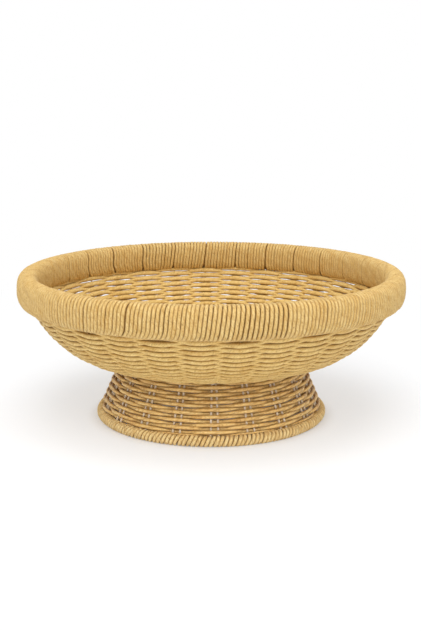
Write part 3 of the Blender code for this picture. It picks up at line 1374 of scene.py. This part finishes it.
        per_bay = (edges[bay + 1] - edges[bay])[:-1, None]
        spacing = radius * (rib * below + wide[:-1] * (1 - below)) * squeeze[:-1] / per_bay
        lumps = 1 + self.lumps.at(np.arange(self.turns * self.steps), self.seed + 1)
        half_width = np.minimum(spacing * 0.5, self.most_width).ravel() * lumps
        settle = (self.settle * rng.standard_normal(self.turns)[:, None] + 0 * psi).ravel()
        flat = angle.ravel()
        out_r, out_z = np.tile(normal[:, 0], self.turns), np.tile(normal[:, 1], self.turns)
        centre = turned(
            np.tile(radius, self.turns) + out_r * settle,
            np.tile(self.roll.height + point[:, 1], self.turns) + out_z * settle,
            flat,
        )
        return Strand(centre, turned(out_r, out_z, flat), half_width, self.inset * lumps, start=80.0)

    def build(self, shop: Workshop) -> None:
        """Makes the winding and sends it out in its lengths."""
        self.send_lengths(shop, self.whole(), "rim_wrapping", Dress.RIM, "rim_wrap")


@dataclass
class RingWrap(Wrap):
    """The cord wound aslant round the ring that stands on the table.

    A turn's angle about the bowl goes on by one pitch per turn, plus a slant times the sine of the
    direction in the section, so that it leans one way on the outer face and the other way inside. The
    slant drifts, is least on the right, and is more than double at the splice.

    Fields: slant_drift, slant_right and splice_gain, the shares by which the slant goes up and down
    by chance, falls to the right, and grows at the splice; jitter, how far a turn lies aside by
    chance, with its wavelength in turns; fill, the share of its pitch that a turn takes.
    """

    turns: int = 168
    lengths: int = 2
    steps: int = 26
    inset: float = 1.65 * MM
    most_width: float = 1.95 * MM
    twist: Twist = Twist(fullness=0.85, swell=0.04, lay=12 * MM)
    slant: float = 1.3 * MM
    slant_drift: float = 0.22
    slant_right: float = 0.45
    splice: float = math.radians(-133)
    splice_reach: float = math.radians(3.0)
    splice_gain: float = 1.3
    jitter: Drift = Drift(0.16 * MM, 2.3)
    fill: float = 0.93
    lumps: Drift = Drift(0.035, 17)
    seed: int = 31

    def whole(self) -> Strand:
        """Works out the whole winding.

        Returns:
            The cord, turn after turn.
        """
        psi = self.roll.even_angles(math.pi, self.steps, self.inset)
        count = self.turns * self.steps
        row = np.arange(count)
        around = np.tile(psi, self.turns)
        point, normal = self.roll.outline(around, self.inset)
        base = FOOT_TURN + TAU * row / count
        base = base + self.jitter.at(row / self.steps, self.seed) / self.roll.radius
        near_splice = hump(away_from(self.splice, base), self.splice_reach)
        drift = self.slant_drift * round_wander(base, self.seed + 1, 6, 17)
        drift = drift - self.slant_right * np.sin(base + math.pi / 2)
        slant = self.slant * (1 + drift + self.splice_gain * near_splice)
        radius = self.roll.radius + point[:, 0]
        angle = base + slant * np.sin(around) / radius
        centre = turned(radius, self.roll.height + point[:, 1], angle)
        lift = turned(normal[:, 0], normal[:, 1], angle)
        lumps = 1 + self.lumps.at(row, self.seed + 2)
        spacing = radius * TAU / self.turns * self.fill
        half_width = np.minimum(spacing * 0.5, self.most_width) * lumps
        return Strand(centre, lift, half_width, self.inset * lumps, start=300.0)

    def build(self, shop: Workshop) -> None:
        """Makes the winding and sends it out in its lengths."""
        self.send_lengths(shop, self.whole(), "foot_ring_wrapping", Dress.RING, "foot_ring_wrap")


# The floor


@dataclass
class FloorWeave:
    """The woven floor: rounds about the bundles of the crossing, then a twill, then plain weave.

    The cord's height over the stakes' layer goes up over a stake and down under the next, as the
    cosine of pi times its count of stakes, and over two and under two in the twill. Its angle is read
    off a table of the stakes' angles at each radius, because they fan out from the crossing. In the
    first rounds the height follows the cosine of twice the angle from the upper layer, once for the
    layers' own heights and once for over and under, which change places after each turn. The floor
    ends in a thick binding row that lies on the hoop.

    Fields: reach and round_reach, how far the cord swings up and down, and in the first rounds;
    rounds, how many of these there are; twill_from, twill_to, rows_from and rows_to, the radii
    between which the twill and the plain weave run; last_turn, how much of a turn the plain weave
    goes on as it tapers, down to thinnest as a share; table_rows, how many radii the table of angles
    has; widening, the share by which the cord is wider at a pass; round_flatness and twill_flatness,
    how flat its passes are; binding_press, the binding's height as a share of its width; beads, how
    often the binding's strands go once round.
    """

    stakes: BowlStakes
    pitch: float = 3.5 * MM
    reach: float = 2.6 * MM
    round_reach: float = 2.5 * MM
    cord_radius: float = 1.65 * MM
    steps_per_stake: int = 10
    steps_per_round: int = 90
    rounds: int = 6
    twill_from: float = 34 * MM
    twill_to: float = 52 * MM
    rows_from: float = 52.2 * MM
    rows_to: float = 88.9 * MM
    last_turn: float = 0.75
    thinnest: float = 0.2
    table_rows: int = 60
    widening: float = 0.18
    round_flatness: float = 1.5
    twill_flatness: float = 1.6
    height_drift: Drift = Drift(0.12 * MM, 4.0)
    thickness_drift: Drift = Drift(0.03, 1.1)
    round_drift: Drift = Drift(0.12 * MM, 0.4)
    round_thickness_drift: Drift = Drift(0.03, 0.05)
    binding_radius: float = 92.6 * MM
    binding_height: float = 65.6 * MM
    binding_thickness: float = 1.9 * MM
    binding_press: float = 0.85
    binding_steps: int = 400
    beads: int = 26

    def stake_angles(self, radius: Array) -> Array:
        """Finds the angle of each stake at each radius, on the straight line from crossing to neck.

        Args:
            radius: the radii.

        Returns:
            One row per radius and one column per rib, rising, with the first rib once more at the end.
        """
        rib = TAU / BOWL_RIBS
        s = self.stakes
        lower = s.crossing // 2
        columns = []
        for k in range(BOWL_RIBS):
            if k == BOWL_RIBS - 1:
                columns.append(np.full(len(radius), BOWL_TURN + rib * k))
                continue
            opposite, within = divmod(k, s.crossing)
            first, count = (0, lower) if within < lower else (lower, s.crossing - lower)
            place = within - first
            if opposite:
                place = count - 1 - place
            middle = BOWL_TURN + rib * (first + (count - 1) / 2)
            aside = (place - (count - 1) / 2) * s.spacing
            sign = -1 if opposite else 1
            start = np.array([s.half_crossing * sign, aside])
            own = BOWL_TURN + rib * k - middle
            end = NECK_RADIUS * np.array([math.cos(own), math.sin(own)])
            t = np.linspace(0, 1.3, 300)[:, None]
            line = start + (end - start) * t
            angles = np.unwrap(np.arctan2(line[:, 1], line[:, 0]))
            angles = angles + round((own - angles[-1]) / TAU) * TAU
            columns.append(middle + np.interp(radius, np.hypot(line[:, 0], line[:, 1]), angles))
        columns.append(columns[0] + TAU)
        return np.stack(columns, axis=1)

    def cord(self, centre: Array, wave: Array, thick: Array, start: float) -> Strand:
        """Makes the cord along a line, wider by the square of the wave that takes it over and under."""
        return Strand(centre, upward(centre), thick * (1 + self.widening * wave**2), thick, start=start)

    def spiral(self, low: float, high: float, twill: bool, seed: int) -> Strand:
        """Works out the cord between two radii. The plain weave ends in a last turn that tapers.

        Args:
            low: the first radius.
            high: the last.
            twill: whether it goes over and under two stakes, and not one.
            seed: which unevenness of many.

        Returns:
            The cord.
        """
        turns = (high - low) / self.pitch + (0.0 if twill else self.last_turn)
        count = np.linspace(0.5, turns * BOWL_RIBS + 0.5, int(turns * BOWL_RIBS * self.steps_per_stake))
        radius = low + self.pitch * count / BOWL_RIBS
        full = 1 - np.clip((radius - high) / self.pitch, 0, 1 - self.thinnest)
        grid = np.linspace(low, high + self.pitch, self.table_rows)
        table = self.stake_angles(grid)
        last = self.table_rows - 1
        row = np.clip((radius - low) / (grid[-1] - low) * last, 0, last - 0.001)
        column = count % BOWL_RIBS
        r0, c0 = row.astype(int), column.astype(int)
        fr, fc = row - r0, column - c0
        upper = table[r0, c0] * (1 - fc) + table[r0, c0 + 1] * fc
        lower = table[r0 + 1, c0] * (1 - fc) + table[r0 + 1, c0 + 1] * fc
        angle = upper * (1 - fr) + lower * fr + TAU * (count // BOWL_RIBS)
        if twill:
            wave = flattened(np.cos(math.pi * (count - 0.5) / 2), self.twill_flatness)
        else:
            wave = np.cos(math.pi * count)
        height = FLOOR_HEIGHT + self.reach * wave + self.height_drift.at(count, seed)
        centre = turned(radius - self.pitch / 2 * (1 - full), height, angle)
        thick = self.cord_radius * (1 + self.thickness_drift.at(count, seed + 1)) * full**TAPER
        return self.cord(centre, wave, thick, 400.0 + seed)

    def first_rounds(self, seed: int) -> Strand:
        """Works out the first rounds, about the four bundles of stakes, up to where the twill starts.

        Args:
            seed: which unevenness of many.

        Returns:
            The cord.
        """
        s = self.stakes
        upper = BOWL_TURN + TAU / BOWL_RIBS * (s.crossing - 1 + s.crossing // 2) / 2
        turns = self.rounds - (upper + TAU / 8 - BOWL_TURN) / TAU
        low = self.twill_from - self.pitch * turns
        turn = np.linspace(0, turns, int(turns * self.steps_per_round))
        angle = upper + TAU / 8 + TAU * turn
        wave = flattened(np.cos(2 * (angle - upper)), self.round_flatness)
        side = 1 - 2 * (np.floor(turn) % 2)
        height = FLOOR_HEIGHT + s.layer_drop * wave + self.round_reach * wave * side
        radius = low + self.pitch * turn + self.round_drift.at(turn, seed)
        thick = self.cord_radius * (1 + self.round_thickness_drift.at(turn, seed + 1))
        return self.cord(turned(radius, height, angle), wave, thick, 380.0)

    def binding(self) -> Strand:
        """Works out the thick row that lies on the hoop and ends the floor.

        Returns:
            The cord, as a closed ring.
        """
        count = self.binding_steps
        angle = np.linspace(0, TAU, count, endpoint=False)
        centre = turned(np.full(count, self.binding_radius), np.full(count, self.binding_height), angle)
        thick = np.full(count, self.binding_thickness)
        return Strand(centre, upward(centre), thick, thick * self.binding_press, closed=True, start=500.0)

    def build(self, shop: Workshop) -> None:
        """Makes the first rounds, the twill, the plain rows and the binding.

        Args:
            shop: what dresses the pieces.
        """
        bead_lay = TAU * self.binding_radius / self.beads
        for name, strand, twist in (
            ("floor_rounds", self.first_rounds(60), Twist()),
            ("floor_twill", self.spiral(self.twill_from, self.twill_to, True, 61), Twist()),
            ("floor_rows", self.spiral(self.rows_from, self.rows_to, False, 62), Twist()),
            ("floor_binding", self.binding(), Twist(lay=bead_lay)),
        ):
            shop.send_out(carry(name, strand, twist), Dress.WALL, "floor_mat")


@dataclass
class FootHoop:
    """The round hoop under the floor, one bent reed whose ends meet."""

    radius: float = HOOP_RADIUS
    height: float = 59.8 * MM
    thickness: float = 3.2 * MM
    steps: int = 240
    twist: Twist = Twist(sides=10, swell=0.0, lay=1.0)

    def build(self, shop: Workshop) -> None:
        """Makes the hoop.

        Args:
            shop: what dresses the piece.
        """
        angle = np.linspace(0, TAU, self.steps, endpoint=False)
        centre = turned(np.full(self.steps, self.radius), np.full(self.steps, self.height), angle)
        half = np.full(self.steps, self.thickness / 2)
        strand = Strand(centre, upward(centre), half, half, closed=True)
        shop.send_out(carry("hoop_reed", strand, self.twist), Dress.RIB, "foot_hoop")


# The studio


@dataclass(frozen=True)
class Lamp:
    """A square soft lamp: where it hangs, the point that it is turned to, its side and its colour."""

    name: str
    place: tuple[float, float, float]
    aim: tuple[float, float, float]
    size: float
    watts: float
    tint: str = "FFFEFC"

    def hang(self) -> None:
        """Puts the lamp into the scene."""
        data = bpy.data.lights.new(self.name, "AREA")
        data.size = self.size
        data.energy = self.watts
        data.color = linear(self.tint)[:3]
        made = bpy.data.objects.new(self.name, data)
        way = np.array(self.aim) - np.array(self.place)
        made.location = self.place
        pitch = math.acos(-way[2] / np.linalg.norm(way))
        made.rotation_euler = (pitch, 0.0, math.atan2(way[1], way[0]) - math.pi / 2)
        bpy.context.scene.collection.objects.link(made)


@dataclass
class Studio:
    """A white sweep of paper, soft lamps and the camera.

    Fields: glow_ramps, between which distances from the middle how much of the paper's white is
    added as light that only the camera sees; daylight, the strength of the white all round.
    """

    floor_size: float = 14.0
    camera_place: tuple[float, float, float] = (-0.0008, -1.1561, 0.35274)
    camera_tilt: float = math.radians(77.90)
    lens: float = 64.37
    sensor: float = 36.0
    nearest: float = 0.05
    farthest: float = 60.0
    paper_tint: str = "F8FAFF"
    glow_ramps: tuple[tuple[float, float, float], ...] = ((0.105, 0.135, 0.55), (0.135, 0.75, 0.45))
    daylight: float = 0.62
    daylight_tint: str = "FFFEFC"
    lamps: tuple[Lamp, ...] = (
        Lamp("key_lamp", (-0.6, -1.3, 1.7), (0, 0, 0.1), 1.2, 6.0, "FFFDFA"),
        Lamp("front_lamp", (-0.1, -1.6, 1.55), (0, 0, 0.0), 1.0, 10.5),
        Lamp("low_lamp", (0.1, -2.3, 0.45), (0, 0, 0.0), 0.9, 3.6),
        Lamp("fill_lamp", (1.3, -1.0, 1.3), (0, 0, 0.1), 1.3, 2.5),
        Lamp("top_lamp", (0.0, -0.4, 2.0), (0, 0, 0.1), 1.4, 18.0),
    )

    def camera(self) -> None:
        """Sets the camera as the photograph has it."""
        data = bpy.data.cameras.new("camera")
        data.lens = self.lens
        data.sensor_width = self.sensor
        data.clip_start, data.clip_end = self.nearest, self.farthest
        made = bpy.data.objects.new("camera", data)
        made.location = self.camera_place
        made.rotation_euler = (self.camera_tilt, 0.0, 0.0)
        bpy.context.scene.collection.objects.link(made)
        bpy.context.scene.camera = made

    def paper(self) -> bpy.types.Material:
        """Makes the white paper.

        The camera sees part of its white as light, none inside the foot and all of it far off, so
        that the background is white and the bowl keeps a faint shadow.

        Returns:
            The material.
        """
        made = bpy.data.materials.new("white_paper")
        made.use_nodes = True
        tree = made.node_tree
        tree.nodes.clear()
        diffuse = add_node(tree, "ShaderNodeBsdfDiffuse", {"Color": linear(self.paper_tint)})
        glow = add_node(tree, "ShaderNodeEmission", {"Color": (1, 1, 1, 1), "Strength": 1.0})
        place = add_node(tree, "ShaderNodeTexCoord").outputs["Object"]
        away = add_node(tree, "ShaderNodeVectorMath", {0: place}, operation="LENGTH").outputs["Value"]
        ramps = []
        for low, high, gain in self.glow_ramps:
            inputs = {"Value": away, "From Min": low, "From Max": high, "To Max": gain}
            ramp = add_node(tree, "ShaderNodeMapRange", inputs, interpolation_type="SMOOTHSTEP")
            ramps.append(ramp.outputs[0])
        share = add_node(tree, "ShaderNodeMath", {0: ramps[0], 1: ramps[1]}).outputs[0]
        seen = {0: share, 1: self.seen_by_camera(tree)}
        share = add_node(tree, "ShaderNodeMath", seen, operation="MULTIPLY").outputs[0]
        inputs = {"Fac": share, 1: diffuse.outputs[0], 2: glow.outputs[0]}
        mixed = add_node(tree, "ShaderNodeMixShader", inputs)
        add_node(tree, "ShaderNodeOutputMaterial", {"Surface": mixed.outputs[0]})
        return made

    def seen_by_camera(self, tree: bpy.types.NodeTree) -> Socket:
        """Tells what is seen from what lights.

        Args:
            tree: the node tree of a material or the world.

        Returns:
            One where a ray comes from the camera, a mirror or glass, and zero for the light itself.
        """
        path = add_node(tree, "ShaderNodeLightPath")
        seen = path.outputs["Is Camera Ray"]
        for ray in ("Is Glossy Ray", "Is Transmission Ray"):
            inputs = {0: seen, 1: path.outputs[ray]}
            seen = add_node(tree, "ShaderNodeMath", inputs, operation="MAXIMUM").outputs[0]
        return seen

    def floor(self) -> None:
        """Lays the paper."""
        half = self.floor_size / 2
        corners = np.array([[-half, -half, 0], [half, -half, 0], [half, half, 0], [-half, half, 0]])
        surface = Surface("paper_floor", corners, np.array([[0, 1, 2, 3]]))
        surface.object(self.paper())

    def world(self) -> None:
        """Surrounds the studio with soft white, and shows the camera plain white."""
        world = bpy.data.worlds.new("studio_white")
        world.use_nodes = True
        tree = world.node_tree
        tree.nodes.clear()
        daylight = {"Color": linear(self.daylight_tint), "Strength": self.daylight}
        soft = add_node(tree, "ShaderNodeBackground", daylight)
        white = add_node(tree, "ShaderNodeBackground", {"Color": (1, 1, 1, 1), "Strength": 1.0})
        inputs = {"Fac": self.seen_by_camera(tree), 1: soft.outputs[0], 2: white.outputs[0]}
        mixed = add_node(tree, "ShaderNodeMixShader", inputs)
        add_node(tree, "ShaderNodeOutputWorld", {"Surface": mixed.outputs[0]})
        bpy.context.scene.world = world

    def build(self) -> None:
        """Sets up everything round the bowl."""
        bpy.context.scene.view_settings.view_transform = "Standard"
        self.camera()
        self.world()
        self.floor()
        for lamp in self.lamps:
            lamp.hang()


# The bowl


def main() -> None:
    """Builds the bowl from the rim down and sets it in the studio."""
    logging.basicConfig(level=logging.INFO, format="%(name)s: %(message)s")
    shop = Workshop()
    bowl, foot = BowlCurve().profile(), foot_profile()
    rim = Roll(
        radius=189.15 * MM,
        height=138.7 * MM,
        half_width=10.85 * MM,
        half_height=16.4 * MM,
        squareness=2.68,
    )
    ring = Roll(RING_RADIUS, RING_HEIGHT, half_width=5.6 * MM, half_height=5.6 * MM, squareness=2.0)

    shop.send_out(rim.core("rim_straw", inset=2.95 * MM, ridges=23), Dress.ROLL, "rim_core")
    RimWrap(rim).build(shop)
    stakes = BowlStakes(bowl)
    stakes.build(shop)
    wall_weave(bowl).build(shop)
    FloorWeave(stakes).build(shop)
    FootHoop().build(shop)
    FootLegs(foot).build(shop)
    foot_weave(foot).build(shop)
    ring_core = ring.core("ring_straw", inset=3.1 * MM, ridges=15, rounds=210, sides=28)
    shop.send_out(ring_core, Dress.ROLL, "foot_ring_core")
    RingWrap(ring).build(shop)
    Studio().build()


if __name__ == "__main__":
    main()
